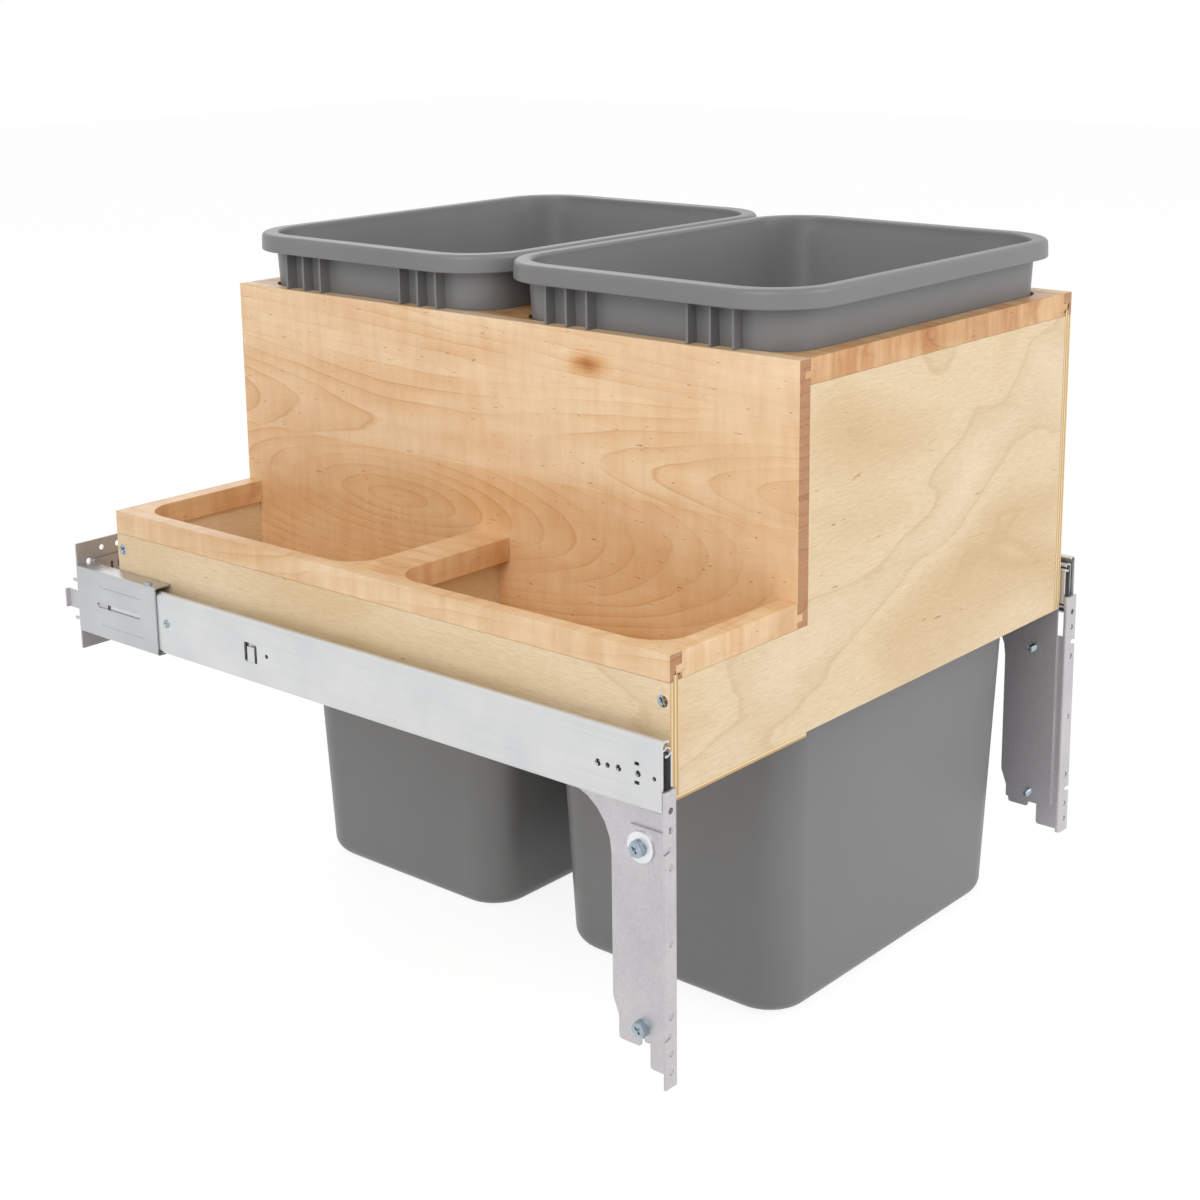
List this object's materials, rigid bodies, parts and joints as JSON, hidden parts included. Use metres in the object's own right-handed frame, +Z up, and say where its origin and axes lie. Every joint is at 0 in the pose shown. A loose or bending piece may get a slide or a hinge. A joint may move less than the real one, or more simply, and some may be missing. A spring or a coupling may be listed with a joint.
{
  "type": "pull out trash cabinet",
  "caption": "Top-mount pull-out waste unit: stepped wooden box with lift-out bins and a side tray, hung on full-extension ball-bearing slides with door brackets.",
  "frame": {"origin": "middle of the footprint, at the level of the undersides of the bins", "axes": "+Z up; -Y towards the kitchen, the way the unit pulls out and where the door goes; +X to the right seen from the door; the tray is on the -X side"},
  "size_m": [0.5332, 0.6184, 0.5409],
  "materials": {
    "maple_panel": "clear-lacquered solid maple",
    "maple_boards": "clear-lacquered solid maple",
    "maple_rails": "clear-lacquered solid maple",
    "plywood_sides": "clear-lacquered birch plywood",
    "plywood_ends": "clear-lacquered birch plywood",
    "plywood_tray": "clear-lacquered birch plywood",
    "grey_plastic": "satin moulded polyethylene",
    "zinc_slide": "zinc-plated rolled steel",
    "zinc_bracket": "galvanised pressed steel",
    "zinc_fasteners": "bright zinc",
    "blue_plastic": "moulded nylon"
  },
  "bodies": {
    "cabinet_runners": {"cabinet_member_left": "zinc_slide", "slide_rivet_left": "zinc_slide", "soft_close_unit_left": "blue_plastic", "rear_sleeve_left": "zinc_slide", "sleeve_clamp_screw_left": "zinc_fasteners", "rear_bracket_left": "zinc_bracket", "cabinet_member_right": "zinc_slide", "slide_rivet_right": "zinc_slide", "soft_close_unit_right": "blue_plastic", "rear_sleeve_right": "zinc_slide", "sleeve_clamp_screw_right": "zinc_fasteners", "rear_bracket_right": "zinc_bracket"},
    "drawer": {"side_panel_left": "plywood_sides", "side_panel_right": "plywood_sides", "front_panel": "plywood_ends", "rear_panel": "plywood_ends", "tall_panel": "maple_panel", "tray_floor": "plywood_tray", "tray_partition": "plywood_tray", "tray_rail_left": "maple_rails", "bin_rail_right": "maple_rails", "tray_board_front": "maple_boards", "tray_board_middle": "maple_boards", "tray_board_rear": "maple_boards", "bin_board_front": "maple_boards", "bin_board_middle": "maple_boards", "bin_board_rear": "maple_boards", "panel_screw_left_front": "zinc_fasteners", "panel_screw_left_rear": "zinc_fasteners", "panel_screw_right_front_lower": "zinc_fasteners", "panel_screw_right_front_upper": "zinc_fasteners", "panel_screw_right_rear_lower": "zinc_fasteners", "panel_screw_right_rear_upper": "zinc_fasteners", "drawer_member_left": "zinc_slide", "slide_screw_front_left": "zinc_fasteners", "slide_screw_rear_left": "zinc_fasteners", "door_plate_left": "zinc_bracket", "door_bracket_left": "zinc_bracket", "upper_bolt_left": "zinc_fasteners", "upper_bolt_washer_left": "zinc_fasteners", "lower_bolt_left": "zinc_fasteners", "drawer_member_right": "zinc_slide", "slide_screw_front_right": "zinc_fasteners", "slide_screw_rear_right": "zinc_fasteners", "door_plate_right": "zinc_bracket", "door_bracket_right": "zinc_bracket", "upper_bolt_right": "zinc_fasteners", "upper_bolt_washer_right": "zinc_fasteners", "lower_bolt_right": "zinc_fasteners"},
    "intermediate_left": {"intermediate_member_left": "zinc_slide"},
    "outer_cage_left": {"outer_ball_cage_left": "zinc_slide"},
    "inner_cage_left": {"inner_ball_cage_left": "zinc_slide"},
    "intermediate_right": {"intermediate_member_right": "zinc_slide"},
    "outer_cage_right": {"outer_ball_cage_right": "zinc_slide"},
    "inner_cage_right": {"inner_ball_cage_right": "zinc_slide"},
    "front_bin": {"bin_front": "grey_plastic"},
    "rear_bin": {"bin_rear": "grey_plastic"}
  },
  "joints": [
    {"name": "drawer_slide", "type": "slide", "parent": "cabinet_runners", "child": "drawer", "axis": [0, -1, 0], "range_m": [0, 0.55]},
    {"name": "intermediate_left_slide", "type": "slide", "parent": "cabinet_runners", "child": "intermediate_left", "axis": [0, -1, 0], "range_m": [0, 0.275]},
    {"name": "outer_cage_left_slide", "type": "slide", "parent": "cabinet_runners", "child": "outer_cage_left", "axis": [0, -1, 0], "range_m": [0, 0.1375]},
    {"name": "inner_cage_left_slide", "type": "slide", "parent": "cabinet_runners", "child": "inner_cage_left", "axis": [0, -1, 0], "range_m": [0, 0.4125]},
    {"name": "intermediate_right_slide", "type": "slide", "parent": "cabinet_runners", "child": "intermediate_right", "axis": [0, -1, 0], "range_m": [0, 0.275]},
    {"name": "outer_cage_right_slide", "type": "slide", "parent": "cabinet_runners", "child": "outer_cage_right", "axis": [0, -1, 0], "range_m": [0, 0.1375]},
    {"name": "inner_cage_right_slide", "type": "slide", "parent": "cabinet_runners", "child": "inner_cage_right", "axis": [0, -1, 0], "range_m": [0, 0.4125]},
    {"name": "front_bin_lift", "type": "slide", "parent": "drawer", "child": "front_bin", "axis": [0, 0, 1], "range_m": [0, 0.55]},
    {"name": "rear_bin_lift", "type": "slide", "parent": "drawer", "child": "rear_bin", "axis": [0, 0, 1], "range_m": [0, 0.55]}
  ],
  "couplings": [
    {"joint": "intermediate_left_slide", "follows": "drawer_slide", "ratio": 0.5},
    {"joint": "outer_cage_left_slide", "follows": "drawer_slide", "ratio": 0.25},
    {"joint": "inner_cage_left_slide", "follows": "drawer_slide", "ratio": 0.75},
    {"joint": "intermediate_right_slide", "follows": "drawer_slide", "ratio": 0.5},
    {"joint": "outer_cage_right_slide", "follows": "drawer_slide", "ratio": 0.25},
    {"joint": "inner_cage_right_slide", "follows": "drawer_slide", "ratio": 0.75}
  ]
}
